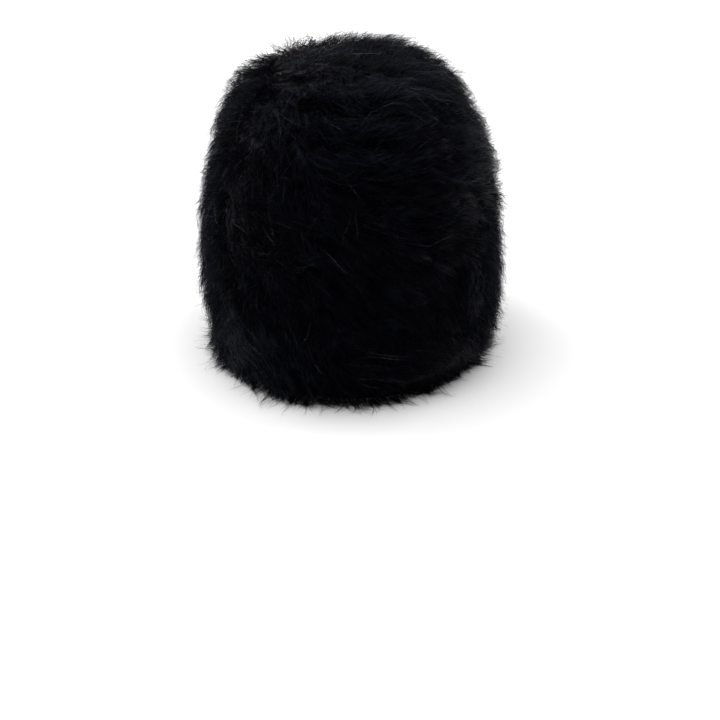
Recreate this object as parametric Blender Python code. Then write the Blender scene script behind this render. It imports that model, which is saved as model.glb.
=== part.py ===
"""Knit hat with a deep fur pile: a knitted cap, seven rounds of fur locks and a crown whorl.

Metres, +Z up. The hat rests on its level rim: the origin is the middle of the rim's flat
face, +Y is the front of the hat and -Y the back.
"""
import bisect
import math
import random
from typing import NamedTuple

import bmesh
import bpy
from mathutils import Vector

# Outer size, measured over the tips of the fur
HAT_WIDTH = 0.200
HAT_LENGTH = 0.232
HAT_HEIGHT = 0.204

# A cross-section is a slightly squared oval: 2 is an ellipse, more is squarer
OVAL_SQUARENESS = 2.25

# Depth of the fur, from the knit to the tips, and thickness of the knitted wall
PILE = 0.0155
KNIT_WALL = 0.003

# Clearances: between the knit and the fur's backing, between two rounds of fur along the
# surface, and between the lowest tips and the surface that the rim rests on
BACKING_GAP = 0.0009
ROUND_GAP = 0.0010
FLOOR_GAP = 0.0010

# Locks around the hat, and the sides that each one has in the mesh
LOCKS = 24
LOCK_SIDES = 3
FUR_SIDES = LOCKS * LOCK_SIDES
KNIT_SIDES = 36

# How far a lock's tip hangs below the valley beside it, and how far a round's foot on the
# backing is above its tips, both along the surface
TIP_REACH = 0.0075
ROUND_SLANT = 0.010
# How far the crest of the tips overhangs the round below
TIP_OVERHANG = 0.0030
# Turn of the locks about the hat's axis, from the crown to the rim, in radians
LOCK_SWEEP = 0.30

# Depth at which a round goes in under the tips above it, and how much the tips are rounded
# off, as shares of the pile
TUCK_DEPTH = 0.60
TIP_ROUNDING = 0.02
# A round keeps its full depth for this share of its height, then curves in under the next
FULL_DEPTH_WAY = 0.15
TUCK_CURVE = 1.5

# Over this share of the way up from the rim the pile turns from level to its full slope,
# so that the knit ends level with the fur
RIM_EASE = 0.16
# Step along and around the form for its slopes, as a share of the side and in radians
SLOPE_STEP = 0.004

# Least and most of a lock's own reach, as a factor, and of its extra depth, in piles
REACH_RANGE = (0.55, 1.25)
DEPTH_RANGE = (-0.05, 0.03)
SEED = 7

# Edges sharper than this stay sharp in the shading
SMOOTH_ANGLE = math.radians(50)


class FormRow(NamedTuple):
    """One level of the outer form, in shares of the hat's height, width, length and pile."""

    height: float
    width: float
    length: float
    lean: float
    pile: float


FORM = (
    FormRow(height=0.000, width=0.880, length=0.890, lean=-0.004, pile=0.66),
    FormRow(height=0.040, width=0.935, length=0.938, lean=0.000, pile=0.72),
    FormRow(height=0.120, width=0.976, length=0.972, lean=0.006, pile=0.85),
    FormRow(height=0.220, width=0.998, length=0.996, lean=0.004, pile=0.96),
    FormRow(height=0.360, width=1.000, length=1.000, lean=0.000, pile=1.00),
    FormRow(height=0.500, width=0.992, length=0.992, lean=0.000, pile=1.00),
    FormRow(height=0.600, width=0.956, length=0.960, lean=0.004, pile=1.00),
    FormRow(height=0.700, width=0.888, length=0.897, lean=0.004, pile=1.00),
    FormRow(height=0.800, width=0.806, length=0.814, lean=-0.002, pile=1.00),
    FormRow(height=0.880, width=0.712, length=0.716, lean=-0.008, pile=1.00),
    FormRow(height=0.940, width=0.570, length=0.572, lean=-0.004, pile=1.00),
    FormRow(height=0.982, width=0.345, length=0.355, lean=0.000, pile=1.00),
    FormRow(height=1.000, width=0.000, length=0.000, lean=0.000, pile=1.00),
)

# Lower edge of each round of fur, from the fringe at the rim to the crown, as a share of
# the way to the top
FUR_EDGES = (0.026, 0.135, 0.255, 0.370, 0.480, 0.585, 0.685, 0.785)


class LockSide(NamedTuple):
    """One line down a lock: how far it reaches down, and how deep the fur is on it."""

    reach: float
    depth: float


# A lock's valley, its crest and its shoulder, which lies over towards the next lock
LOCK_PROFILE = (
    LockSide(reach=-1.0, depth=0.83),
    LockSide(reach=1.0, depth=1.00),
    LockSide(reach=0.1, depth=0.95),
)

# Levels of the knitted cap's rings, as shares of the way to the top
KNIT_LEVELS = (0.0, 0.06, 0.15, 0.26, 0.38, 0.50, 0.62, 0.73, 0.83, 0.91, 0.965)
# Where the rings of a round's back are, from its lower to its upper edge: the first round
# has two, because the knit flares out from the rim behind it
FIRST_BACK_WAYS = (0.22, 0.55)
BACK_WAYS = (0.50,)
# Where the rings of a round's face are, from its upper to its lower edge
FACE_WAYS = (0.66, 0.30)
# Levels of the crown's inner rings and outer rings above its tips
CROWN_INNER_LEVELS = (0.86, 0.91, 0.96)
CROWN_OUTER_LEVELS = (0.85, 0.905, 0.955)


def smooth_row(position: float) -> FormRow:
    """The form's row at a position counted in rows, on a smooth curve through the table."""
    last = len(FORM) - 1
    index = min(int(position), last - 1)
    t = position - index
    before = FORM[max(index - 1, 0)]
    start = FORM[index]
    end = FORM[index + 1]
    after = FORM[min(index + 2, last)]
    values = []
    for a, b, c, d in zip(before, start, end, after):
        values.append(
            b + 0.5 * t * (c - a + t * (2 * a - 5 * b + 4 * c - d + t * (3 * (b - c) + d - a)))
        )
    return FormRow(*values)


def meridian_table(steps_per_row: int = 24) -> list[tuple[float, float]]:
    """Pairs of length along the hat's side, from rim to top, and position in rows."""
    table = [(0.0, 0.0)]
    previous = smooth_row(0.0)
    length = 0.0
    total_steps = (len(FORM) - 1) * steps_per_row
    for step in range(1, total_steps + 1):
        position = step / steps_per_row
        row = smooth_row(position)
        rise = (row.height - previous.height) * HAT_HEIGHT
        run = (row.width - previous.width) * HAT_WIDTH / 2
        length += math.hypot(rise, run)
        table.append((length, position))
        previous = row
    return table


MERIDIAN = meridian_table()
SIDE_LENGTH = MERIDIAN[-1][0]


def row_at(share: float) -> FormRow:
    """The form's row at a share of the way along the side, 0 at the rim and 1 at the top."""
    length = min(max(share, 0.0), 1.0) * SIDE_LENGTH
    after = max(bisect.bisect_left(MERIDIAN, (length, 0.0)), 1)
    start, first = MERIDIAN[after - 1]
    end, second = MERIDIAN[after]
    t = (length - start) / (end - start)
    return smooth_row(first + t * (second - first))


def oval(angle: float) -> tuple[float, float]:
    """A point of the unit oval, as shares of its half width and half length."""
    c = math.cos(angle)
    s = math.sin(angle)
    n = OVAL_SQUARENESS
    r = (abs(c) ** n + abs(s) ** n) ** (-1 / n)
    return r * c, r * s


def outer_point(share: float, angle: float) -> Vector:
    """A point of the outer form, over the tips of the fur."""
    row = row_at(share)
    x, y = oval(angle)
    return Vector((
        (x * row.width / 2 + row.lean) * HAT_WIDTH,
        y * row.length / 2 * HAT_LENGTH,
        row.height * HAT_HEIGHT,
    ))


def outward(share: float, angle: float) -> Vector:
    """The direction straight out of the outer form, level at the rim and up at the top."""
    if share > 1 - SLOPE_STEP:
        return Vector((0.0, 0.0, 1.0))
    low = max(share - SLOPE_STEP, 0.0)
    along = outer_point(share + SLOPE_STEP, angle) - outer_point(low, angle)
    around = outer_point(share, angle + SLOPE_STEP) - outer_point(share, angle - SLOPE_STEP)
    normal = around.cross(along).normalized()
    ease = min(share / RIM_EASE, 1.0)
    normal.z *= ease * ease * (3 - 2 * ease)
    return normal.normalized()


def fur_point(share: float, angle: float, depth: float) -> Vector:
    """A point in the pile: depth 0 is the fur's backing, and 1 is the outer form."""
    pile = row_at(share).pile * PILE
    inset = (pile - BACKING_GAP) * (1 - depth)
    point = outer_point(share, angle) - outward(share, angle) * inset
    point.z = max(point.z, FLOOR_GAP)
    return point


def knit_point(share: float, angle: float, wall: float) -> Vector:
    """A point of the knitted wall: wall 0 is its outer face, and KNIT_WALL its inner face."""
    pile = row_at(share).pile * PILE
    point = outer_point(share, angle) - outward(share, angle) * (pile + wall)
    if share == 0.0:
        point.z = 0.0
    return point


def fur_angle(side: int, share: float) -> float:
    """The angle of a line down the locks, which sweep round towards the rim."""
    return math.tau * side / FUR_SIDES + LOCK_SWEEP * (1 - share) ** 2


class Lock(NamedTuple):
    """How one lock differs from the others: a factor on its reach, and its extra depth."""

    reach: float
    depth: float


def round_locks(level: int) -> list[Lock]:
    """The locks around one level of the fur, each a little different."""
    dice = random.Random(SEED + level)
    return [Lock(dice.uniform(*REACH_RANGE), dice.uniform(*DEPTH_RANGE)) for _ in range(LOCKS)]


def side_of_lock(level: int, side: int) -> tuple[Lock, LockSide]:
    """The lock and its line at a side; locks of neighbouring rounds are staggered."""
    shifted = side + level * (LOCK_SIDES - 1)
    lock = LOCK_TABLE[level][shifted // LOCK_SIDES % LOCKS]
    return lock, LOCK_PROFILE[shifted % LOCK_SIDES]


LOCK_TABLE = [round_locks(level) for level in range(len(FUR_EDGES))]


def fur_depth(level: int, side: int) -> float:
    """How far out the fur of a round stands on one of its sides, as a share of the pile."""
    lock, line = side_of_lock(level, side)
    return line.depth + lock.depth


def edge_share(level: int, side: int) -> float:
    """Where the tips of a round end on one of its sides, as a share of the way up."""
    lock, line = side_of_lock(level, side)
    drop = TIP_REACH / 2 * (1 + line.reach * lock.reach)
    return max(FUR_EDGES[level] - drop / SIDE_LENGTH, 0.0)


def foot_ring(level: int, offset: float) -> list[Vector]:
    """Where a round's lower face starts on the backing, moved along the surface by offset."""
    ring = []
    for side in range(FUR_SIDES):
        slant = ROUND_SLANT if level else 0.0
        share = edge_share(level, side) + (slant + offset) / SIDE_LENGTH
        ring.append(fur_point(share, fur_angle(side, share), 0.0))
    return ring


def tuck_ring(level: int, offset: float) -> list[Vector]:
    """Where a round's lower face ends under its tips, moved along the surface by offset."""
    ring = []
    for side in range(FUR_SIDES):
        share = edge_share(level, side) + offset / SIDE_LENGTH
        ring.append(fur_point(share, fur_angle(side, share), TUCK_DEPTH))
    return ring


def tip_ring(level: int) -> list[Vector]:
    """The crest of a round's tips, which overhangs the round below."""
    ring = []
    for side in range(FUR_SIDES):
        overhang = TIP_OVERHANG if level else 0.0
        share = edge_share(level, side) - overhang / SIDE_LENGTH
        depth = fur_depth(level, side) - TIP_ROUNDING
        ring.append(fur_point(share, fur_angle(side, share), depth))
    return ring


def body_ring(level: int, way: float, outer: bool) -> list[Vector]:
    """A ring of a round part of the way from its lower edge to its upper edge."""
    ring = []
    for side in range(FUR_SIDES):
        low = edge_share(level, side)
        high = edge_share(level + 1, side)
        if not outer:
            low += (ROUND_SLANT if level else 0.0) / SIDE_LENGTH
            high += ROUND_SLANT / SIDE_LENGTH
        share = low + (high - low) * way
        depth = 0.0
        if outer:
            full = fur_depth(level, side)
            depth = full + (TUCK_DEPTH - full) * max(way - FULL_DEPTH_WAY, 0.0) ** TUCK_CURVE
        ring.append(fur_point(share, fur_angle(side, share), depth))
    return ring


def level_ring(level: int, share: float, outer: bool) -> list[Vector]:
    """A ring of the crown at one share of the way up."""
    ring = []
    for side in range(FUR_SIDES):
        fade = (1 - share) / (1 - FUR_EDGES[-1])
        depth = 1 - (1 - fur_depth(level, side)) * fade if outer else 0.0
        ring.append(fur_point(share, fur_angle(side, share), depth))
    return ring


def add_strip(mesh: bmesh.types.BMesh, first: list, second: list, mirrored: bool = False) -> None:
    """Join two rings of vertices by triangles; mirrored turns each pair's diagonal."""
    count = len(first)
    for i in range(count):
        j = (i + 1) % count
        if mirrored:
            mesh.faces.new((first[i], first[j], second[i]))
            mesh.faces.new((first[j], second[j], second[i]))
        else:
            mesh.faces.new((first[i], first[j], second[j]))
            mesh.faces.new((first[i], second[j], second[i]))


def add_fan(mesh: bmesh.types.BMesh, ring: list, pole: Vector) -> None:
    """Close a ring of vertices to a pole."""
    tip = mesh.verts.new(pole)
    for i in range(len(ring)):
        mesh.faces.new((ring[i], ring[(i + 1) % len(ring)], tip))


def knit_material() -> bpy.types.Material:
    """Matt black knitting yarn."""
    return plain_material("black_knit", (0.012, 0.012, 0.014), 0.90)


def fur_material() -> bpy.types.Material:
    """Black fur, a little glossier than the yarn."""
    return plain_material("black_fur", (0.008, 0.008, 0.010), 0.60)


def plain_material(name: str, colour: tuple[float, float, float], roughness: float):
    """A Principled material of one colour, which is not a metal."""
    material = bpy.data.materials.new(name)
    material.use_nodes = True
    shader = material.node_tree.nodes["Principled BSDF"]
    shader.inputs["Base Color"].default_value = (*colour, 1.0)
    shader.inputs["Roughness"].default_value = roughness
    shader.inputs["Metallic"].default_value = 0.0
    material.diffuse_color = (*colour, 1.0)
    return material


def finish_piece(name: str, mesh: bmesh.types.BMesh, material: bpy.types.Material) -> None:
    """Turn the faces outwards, shade them smooth and link the piece into the scene."""
    bmesh.ops.recalc_face_normals(mesh, faces=mesh.faces[:])
    data = bpy.data.meshes.new(name)
    mesh.to_mesh(data)
    mesh.free()
    data.materials.append(material)
    data.shade_smooth()
    data.set_sharp_from_angle(angle=SMOOTH_ANGLE)
    piece = bpy.data.objects.new(name, data)
    bpy.context.scene.collection.objects.link(piece)


def make_knit_cap(material: bpy.types.Material) -> None:
    """The knitted wall: an outer and an inner dome joined by the flat rim."""
    mesh = bmesh.new()
    rims = []
    for wall in (0.0, KNIT_WALL):
        previous = None
        for share in KNIT_LEVELS:
            ring = []
            for side in range(KNIT_SIDES):
                ring.append(mesh.verts.new(knit_point(share, math.tau * side / KNIT_SIDES, wall)))
            if previous is None:
                rims.append(ring)
            else:
                add_strip(mesh, previous, ring)
            previous = ring
        add_fan(mesh, previous, knit_point(1.0, 0.0, wall))
    add_strip(mesh, rims[0], rims[1])
    finish_piece("knit_cap", mesh, material)


def join_rings(mesh: bmesh.types.BMesh, rings: list, mirrored: tuple[int, ...]) -> list:
    """Make the rings' vertices and join each ring to the next; returns the vertices."""
    made = [[mesh.verts.new(point) for point in ring] for ring in rings]
    for index in range(len(made) - 1):
        add_strip(mesh, made[index], made[index + 1], index in mirrored)
    return made


def make_fur_round(level: int, material: bpy.types.Material) -> None:
    """One round of fur: its foot and back on the knit, its face, tips and lower face."""
    mesh = bmesh.new()
    half_gap = ROUND_GAP / 2
    rings = [
        foot_ring(level, half_gap),
        *[body_ring(level, way, outer=False) for way in (BACK_WAYS if level else FIRST_BACK_WAYS)],
        foot_ring(level + 1, -half_gap),
        tuck_ring(level + 1, -half_gap),
        *[body_ring(level, way, outer=True) for way in FACE_WAYS],
        tip_ring(level),
        tuck_ring(level, half_gap),
    ]
    made = join_rings(mesh, rings, mirrored=())
    # The lower face has the same diagonals as the upper face of the round below it
    add_strip(mesh, made[-1], made[0], mirrored=True)
    finish_piece(f"fur_round_{level + 1}", mesh, material)


def make_fur_crown(material: bpy.types.Material) -> None:
    """The whorl on top: locks that run out from the middle and hang over the last round."""
    mesh = bmesh.new()
    level = len(FUR_EDGES) - 1
    half_gap = ROUND_GAP / 2
    outer = [level_ring(level, share, outer=True) for share in CROWN_OUTER_LEVELS]
    inner = [level_ring(level, share, outer=False) for share in CROWN_INNER_LEVELS]
    rings = [*reversed(outer), tip_ring(level), tuck_ring(level, half_gap),
             foot_ring(level, half_gap), *inner]
    lower_face = len(outer) + 1
    made = join_rings(mesh, rings, mirrored=(lower_face,))
    add_fan(mesh, made[0], fur_point(1.0, 0.0, 1.0))
    add_fan(mesh, made[-1], fur_point(1.0, 0.0, 0.0))
    finish_piece("fur_crown", mesh, material)


def main() -> None:
    """Clear the scene and build the hat from the inside out."""
    for item in list(bpy.data.objects):
        bpy.data.objects.remove(item, do_unlink=True)
    fur = fur_material()
    make_knit_cap(knit_material())
    for level in range(len(FUR_EDGES) - 1):
        make_fur_round(level, fur)
    make_fur_crown(fur)


main()
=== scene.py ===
"""Looks of a pull-on knit hat with a deep fur pile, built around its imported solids.

The knitted wall is redrawn with its wales and courses. Each round of fur is redrawn as a mat
of underfur with thousands of tapered hairs, combed the way the real fur lies.
"""
import enum
import logging
import math
from dataclasses import dataclass, field

import bmesh
import bpy
import numpy as np
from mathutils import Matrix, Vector
from mathutils.bvhtree import BVHTree


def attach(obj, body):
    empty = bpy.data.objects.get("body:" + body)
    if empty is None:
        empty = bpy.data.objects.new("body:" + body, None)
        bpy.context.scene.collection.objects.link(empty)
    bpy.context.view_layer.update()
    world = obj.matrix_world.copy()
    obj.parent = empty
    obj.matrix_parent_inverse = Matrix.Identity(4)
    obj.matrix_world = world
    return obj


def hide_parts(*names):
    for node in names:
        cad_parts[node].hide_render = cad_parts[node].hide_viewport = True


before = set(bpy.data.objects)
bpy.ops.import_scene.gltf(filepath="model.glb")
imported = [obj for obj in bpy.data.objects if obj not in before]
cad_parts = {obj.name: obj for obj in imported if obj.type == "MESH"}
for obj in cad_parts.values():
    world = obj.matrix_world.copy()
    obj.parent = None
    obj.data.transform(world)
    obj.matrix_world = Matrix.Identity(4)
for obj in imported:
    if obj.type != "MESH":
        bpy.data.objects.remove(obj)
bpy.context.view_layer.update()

LOG = logging.getLogger("knit_hat")
MM = 0.001
BODY = "root"
KNIT_NODE = "knit_cap"
CROWN_NODE = "fur_crown"
ROUND_NODES = tuple(f"fur_round_{number}" for number in range(1, 8))
FUR_NODES = (*ROUND_NODES, CROWN_NODE)
# The map that a piece's finish is drawn on: across is the hair's tint, up is root to tip
HAIR_MAP = "OFBake"
# Hair that reaches the surface under the hat lies on it at this height
FLOOR_CLEAR = 0.45 * MM
# Seeds of the unevenness, so that each run gives the same hat
SWIRL_SEED = 11
MAT_SEED = 31
TUFT_SEED = 41
LOCK_SEED = 99


def linear(colour: str) -> tuple[float, float, float, float]:
    """Turn an sRGB hex colour into linear light.

    Args:
        colour: Six hex digits, with or without a leading hash.

    Returns:
        Red, green, blue and a full alpha, linear.
    """
    digits = colour.lstrip("#")
    parts = [int(digits[i:i + 2], 16) / 255 for i in (0, 2, 4)]
    light = [c / 12.92 if c <= 0.04045 else ((c + 0.055) / 1.055) ** 2.4 for c in parts]
    return (*light, 1.0)


def add_node(tree: bpy.types.NodeTree, kind: str, settings: dict | None = None,
             links: dict | None = None) -> bpy.types.Node:
    """Add a node with its settings and links.

    Args:
        tree: The node tree.
        kind: The node's type, such as ShaderNodeMath.
        settings: Attribute names, or inputs by name or number, and their values.
        links: Inputs by name or number, and the output socket that feeds each.

    Returns:
        The new node.
    """
    node = tree.nodes.new(kind)
    for name, value in (settings or {}).items():
        if isinstance(name, str) and hasattr(node, name):
            setattr(node, name, value)
        else:
            node.inputs[name].default_value = value
    for name, source in (links or {}).items():
        tree.links.new(source, node.inputs[name])
    return node


def new_object(name: str, data: bpy.types.ID) -> bpy.types.Object:
    """Make an object and put it in the scene.

    Args:
        name: The object's name.
        data: Its mesh, light or camera.

    Returns:
        The object.
    """
    made = bpy.data.objects.new(name, data)
    bpy.context.scene.collection.objects.link(made)
    return made


def new_material(name: str) -> tuple[bpy.types.Material, bpy.types.NodeTree, bpy.types.Node]:
    """Start a material with an empty tree, a Principled shader and an output.

    Args:
        name: The material's name.

    Returns:
        The material, its node tree and its Principled shader.
    """
    material = bpy.data.materials.new(name)
    material.use_nodes = True
    tree = material.node_tree
    tree.nodes.clear()
    shader = add_node(tree, "ShaderNodeBsdfPrincipled")
    add_node(tree, "ShaderNodeOutputMaterial", links={"Surface": shader.outputs["BSDF"]})
    return material, tree, shader


@dataclass(frozen=True)
class DyedFur:
    """Long rabbit fur, dyed black and combed: smooth keratin hairs with a cool, faint sheen.

    The dye is deepest at the roots and a little worn at the tips. The pale end of the tints
    stands partly for worn hairs and a few undyed guard hairs, and partly for painted light
    and painted glints on the hairs. Each hair's tint is read across its map, its root to tip up
    it.
    """

    root_colour: str = "#020203"
    dark_colour: str = "#060609"
    body_colour: str = "#08090d"
    light_colour: str = "#171a23"
    # Worn hairs and hairs painted as lit, then pale guard hairs that are partly undyed and partly
    # painted glints
    worn_and_lit_colour: str = "#30333e"
    undyed_and_glint_colour: str = "#74767f"
    brown_colour: str = "#2b1a12"
    tan_colour: str = "#7d543b"
    roughness: float = 0.30
    specular: float = 0.077
    specular_tint: str = "#adb6e0"
    # That of keratin, which hair is made of
    ior: float = 1.55
    # The shares of a hair's length between which the root's colour gives way to its tint
    tint_from: float = 0.1
    tint_whole: float = 0.75

    def build(self) -> bpy.types.Material:
        """Make the fur's material.

        Returns:
            The material, for hairs and for the mat that they stand in.
        """
        material, tree, shader = new_material("dyed_rabbit_fur")
        place = add_node(tree, "ShaderNodeUVMap", {"uv_map": HAIR_MAP})
        across = add_node(tree, "ShaderNodeSeparateXYZ", links={0: place.outputs["UV"]})
        tint = add_node(tree, "ShaderNodeValToRGB", links={"Fac": across.outputs["X"]})
        stops = ((0.0, self.root_colour), (0.04, self.dark_colour), (0.34, self.body_colour),
                 (0.60, self.light_colour), (0.78, self.worn_and_lit_colour),
                 (0.90, self.undyed_and_glint_colour), (0.92, self.brown_colour), (1.0, self.tan_colour))
        set_stops(tint.color_ramp, stops)
        rise = add_node(tree, "ShaderNodeMapRange",
                        {"From Min": self.tint_from, "From Max": self.tint_whole},
                        {"Value": across.outputs["Y"]})
        colour = add_node(
            tree, "ShaderNodeMix", {"data_type": "RGBA", 6: linear(self.root_colour)},
            {"Factor": rise.outputs["Result"], 7: tint.outputs["Color"]},
        )
        tree.links.new(colour.outputs[2], shader.inputs["Base Color"])
        shader.inputs["Roughness"].default_value = self.roughness
        shader.inputs["Specular IOR Level"].default_value = self.specular
        shader.inputs["IOR"].default_value = self.ior
        shader.inputs["Specular Tint"].default_value = linear(self.specular_tint)
        return material


def set_stops(ramp: bpy.types.ColorRamp, stops: tuple[tuple[float, str], ...]) -> None:
    """Give a colour ramp its stops.

    Args:
        ramp: The ramp, which starts with two stops.
        stops: Position and sRGB hex colour of each stop, in order.
    """
    while len(ramp.elements) < len(stops):
        ramp.elements.new(0.5)
    for element, (position, colour) in zip(ramp.elements, stops):
        element.position = position
        element.color = linear(colour)


@dataclass(frozen=True)
class KnitYarn:
    """Spun wool yarn, plain knitted: dull, a little thick and thin, with loose fibres.

    The map holds the wall's wales across and courses up, and the V of each stitch follows
    them.
    """

    yarn_colour: str = "#0c0c0f"
    # The dark between the stitches is painted shade
    gap_shade_colour: str = "#030304"
    fibre_colour: str = "#16161b"
    roughness: float = 0.88
    specular: float = 0.2
    sheen: float = 0.08
    # How far apart the yarn's thick places are
    slub_spacing: float = 7.98 * MM
    # The finest grain, coarser than wool's 0.02 mm, so that it shows, and the coarsest next
    # to it
    fibre_size: float = 0.35 * MM
    fibre_range: float = 6.0
    # How far a stitch's legs lean, in stitches for each wale
    leg_lean: float = 1.3
    # How high the courses, thick places and fibres stand, next to the wales
    course_height: float = 0.45
    slub_height: float = 0.25
    fibre_height: float = 0.4
    bump_strength: float = 0.8
    bump_depth: float = 0.6 * MM

    def build(self, wales: int, courses: int) -> bpy.types.Material:
        """Make the yarn's material.

        Args:
            wales: Columns of stitches in the whole map.
            courses: Rows of stitches in the whole map.

        Returns:
            The material.
        """
        material, tree, shader = new_material("plain_knitted_wool")
        place = add_node(tree, "ShaderNodeUVMap", {"uv_map": HAIR_MAP})
        part = add_node(tree, "ShaderNodeSeparateXYZ", links={0: place.outputs["UV"]})
        wale = add_node(tree, "ShaderNodeMath", {"operation": "MULTIPLY", 1: float(wales)},
                        {0: part.outputs["X"]})
        course = add_node(tree, "ShaderNodeMath", {"operation": "MULTIPLY", 1: float(courses)},
                          {0: part.outputs["Y"]})
        # Across a wale the two legs of a stitch lean apart: a triangle wave sets the V
        leg = add_node(tree, "ShaderNodeMath", {"operation": "PINGPONG", 1: 0.5},
                       {0: wale.outputs[0]})
        lean = add_node(tree, "ShaderNodeMath",
                        {"operation": "MULTIPLY_ADD", 1: -self.leg_lean},
                        {0: leg.outputs[0], 2: course.outputs[0]})
        loop = add_node(tree, "ShaderNodeMath", {"operation": "MULTIPLY", 1: math.tau},
                        {0: lean.outputs[0]})
        wave = add_node(tree, "ShaderNodeMath", {"operation": "SINE"}, {0: loop.outputs[0]})
        side = add_node(tree, "ShaderNodeMath", {"operation": "MULTIPLY", 1: math.tau},
                        {0: leg.outputs[0]})
        round_leg = add_node(tree, "ShaderNodeMath", {"operation": "SINE"},
                             {0: side.outputs[0]})
        high = add_node(tree, "ShaderNodeMath",
                        {"operation": "MULTIPLY_ADD", 1: self.course_height},
                        {0: wave.outputs[0], 2: round_leg.outputs[0]})
        solid = add_node(tree, "ShaderNodeTexCoord")
        fibres = add_node(tree, "ShaderNodeTexNoise",
                          {"Scale": 1 / self.fibre_size / self.fibre_range, "Detail": 3.0},
                          {"Vector": solid.outputs["Object"]})
        # Diagonal bands are tau / (10 * sqrt(3)) apart at a scale of 1
        band = math.tau / (10 * math.sqrt(3))
        slubs = add_node(tree, "ShaderNodeTexWave",
                         {"Scale": band / self.slub_spacing, "Distortion": 2.0,
                          "bands_direction": "DIAGONAL"},
                         {"Vector": solid.outputs["Object"]})
        # Where the stitch's relief is low, the colour goes to the painted shade of the gaps
        tone = add_node(tree, "ShaderNodeMapRange", {"From Min": -0.6, "From Max": 1.2},
                        {"Value": high.outputs[0]})
        yarn = add_node(tree, "ShaderNodeMix",
                        {"data_type": "RGBA", 6: linear(self.yarn_colour),
                         7: linear(self.fibre_colour)},
                        {"Factor": fibres.outputs["Fac"]})
        colour = add_node(tree, "ShaderNodeMix",
                          {"data_type": "RGBA", 6: linear(self.gap_shade_colour)},
                          {"Factor": tone.outputs["Result"], 7: yarn.outputs[2]})
        fine = add_node(tree, "ShaderNodeMath",
                        {"operation": "MULTIPLY_ADD", 1: self.slub_height},
                        {0: slubs.outputs["Fac"], 2: high.outputs[0]})
        relief = add_node(tree, "ShaderNodeMath",
                          {"operation": "MULTIPLY_ADD", 1: self.fibre_height},
                          {0: fibres.outputs["Fac"], 2: fine.outputs[0]})
        bump = add_node(tree, "ShaderNodeBump",
                        {"Strength": self.bump_strength, "Distance": self.bump_depth},
                        {"Height": relief.outputs[0]})
        tree.links.new(colour.outputs[2], shader.inputs["Base Color"])
        tree.links.new(bump.outputs["Normal"], shader.inputs["Normal"])
        shader.inputs["Roughness"].default_value = self.roughness
        shader.inputs["Specular IOR Level"].default_value = self.specular
        shader.inputs["Sheen Weight"].default_value = self.sheen
        return material


@dataclass(frozen=True)
class PaintedBoard:
    """White emulsion on a flat board: matt, with the roller's faint unevenness."""

    colour: str = "#dedede"
    shade_colour: str = "#dadada"
    roughness: float = 0.9
    specular: float = 0.1
    # Bands of the roller in each metre
    unevenness: float = 3.0

    def build(self) -> bpy.types.Material:
        """Make the board's material.

        Returns:
            The material.
        """
        material, tree, shader = new_material("white_emulsion")
        solid = add_node(tree, "ShaderNodeTexCoord")
        roller = add_node(tree, "ShaderNodeTexNoise",
                          {"Scale": self.unevenness, "Detail": 2.0},
                          {"Vector": solid.outputs["Object"]})
        colour = add_node(tree, "ShaderNodeMix",
                          {"data_type": "RGBA", 6: linear(self.colour),
                           7: linear(self.shade_colour)},
                          {"Factor": roller.outputs["Fac"]})
        tree.links.new(colour.outputs[2], shader.inputs["Base Color"])
        shader.inputs["Roughness"].default_value = self.roughness
        shader.inputs["Specular IOR Level"].default_value = self.specular
        return material


def tree_of(names: tuple[str, ...]) -> tuple[BVHTree, np.ndarray]:
    """Make one search tree of several solids.

    Args:
        names: The solids' nodes.

    Returns:
        The tree, and for each of its triangles the index of its node in names.
    """
    points: list = []
    faces: list = []
    owner: list = []
    for index, name in enumerate(names):
        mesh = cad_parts[name].data
        mesh.calc_loop_triangles()
        start = len(points)
        points.extend(vertex.co.copy() for vertex in mesh.vertices)
        for triangle in mesh.loop_triangles:
            faces.append([start + corner for corner in triangle.vertices])
            owner.append(index)
    return BVHTree.FromPolygons(points, faces), np.array(owner)


def blurred(grid: np.ndarray, around: int, up: int) -> np.ndarray:
    """Smooth a grid whose rows run up the hat and whose columns close into a circle.

    Args:
        grid: Rows, columns and any more axes.
        around: How often each point is averaged with its neighbours around the hat.
        up: How often it is averaged with those above and below it.

    Returns:
        The smoothed grid.
    """
    for _ in range(around):
        grid = (2 * grid + np.roll(grid, 1, axis=1) + np.roll(grid, -1, axis=1)) / 4
    for _ in range(up):
        inner = (2 * grid[1:-1] + grid[:-2] + grid[2:]) / 4
        grid = np.concatenate([grid[:1], inner, grid[-1:]])
    return grid


def unit(vectors: np.ndarray) -> np.ndarray:
    """The vectors at a length of 1."""
    return vectors / np.maximum(np.linalg.norm(vectors, axis=-1, keepdims=True), 1e-9)


@dataclass(frozen=True)
class Patch:
    """A soft-edged patch of the fur; angle and width in degrees, up and height in ways up.

    extra is what the patch adds at its middle, in the unit of whatever it changes.
    """

    angle: float
    up: float
    width: float
    height: float
    extra: float = 1.0

    def at(self, up: np.ndarray, angle: np.ndarray) -> np.ndarray:
        """How much the patch adds at each place."""
        off = (angle - math.radians(self.angle) + math.pi) % math.tau - math.pi
        return self.extra * np.exp(
            -(off / math.radians(self.width)) ** 2 - ((up - self.up) / self.height) ** 2
        )


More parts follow.
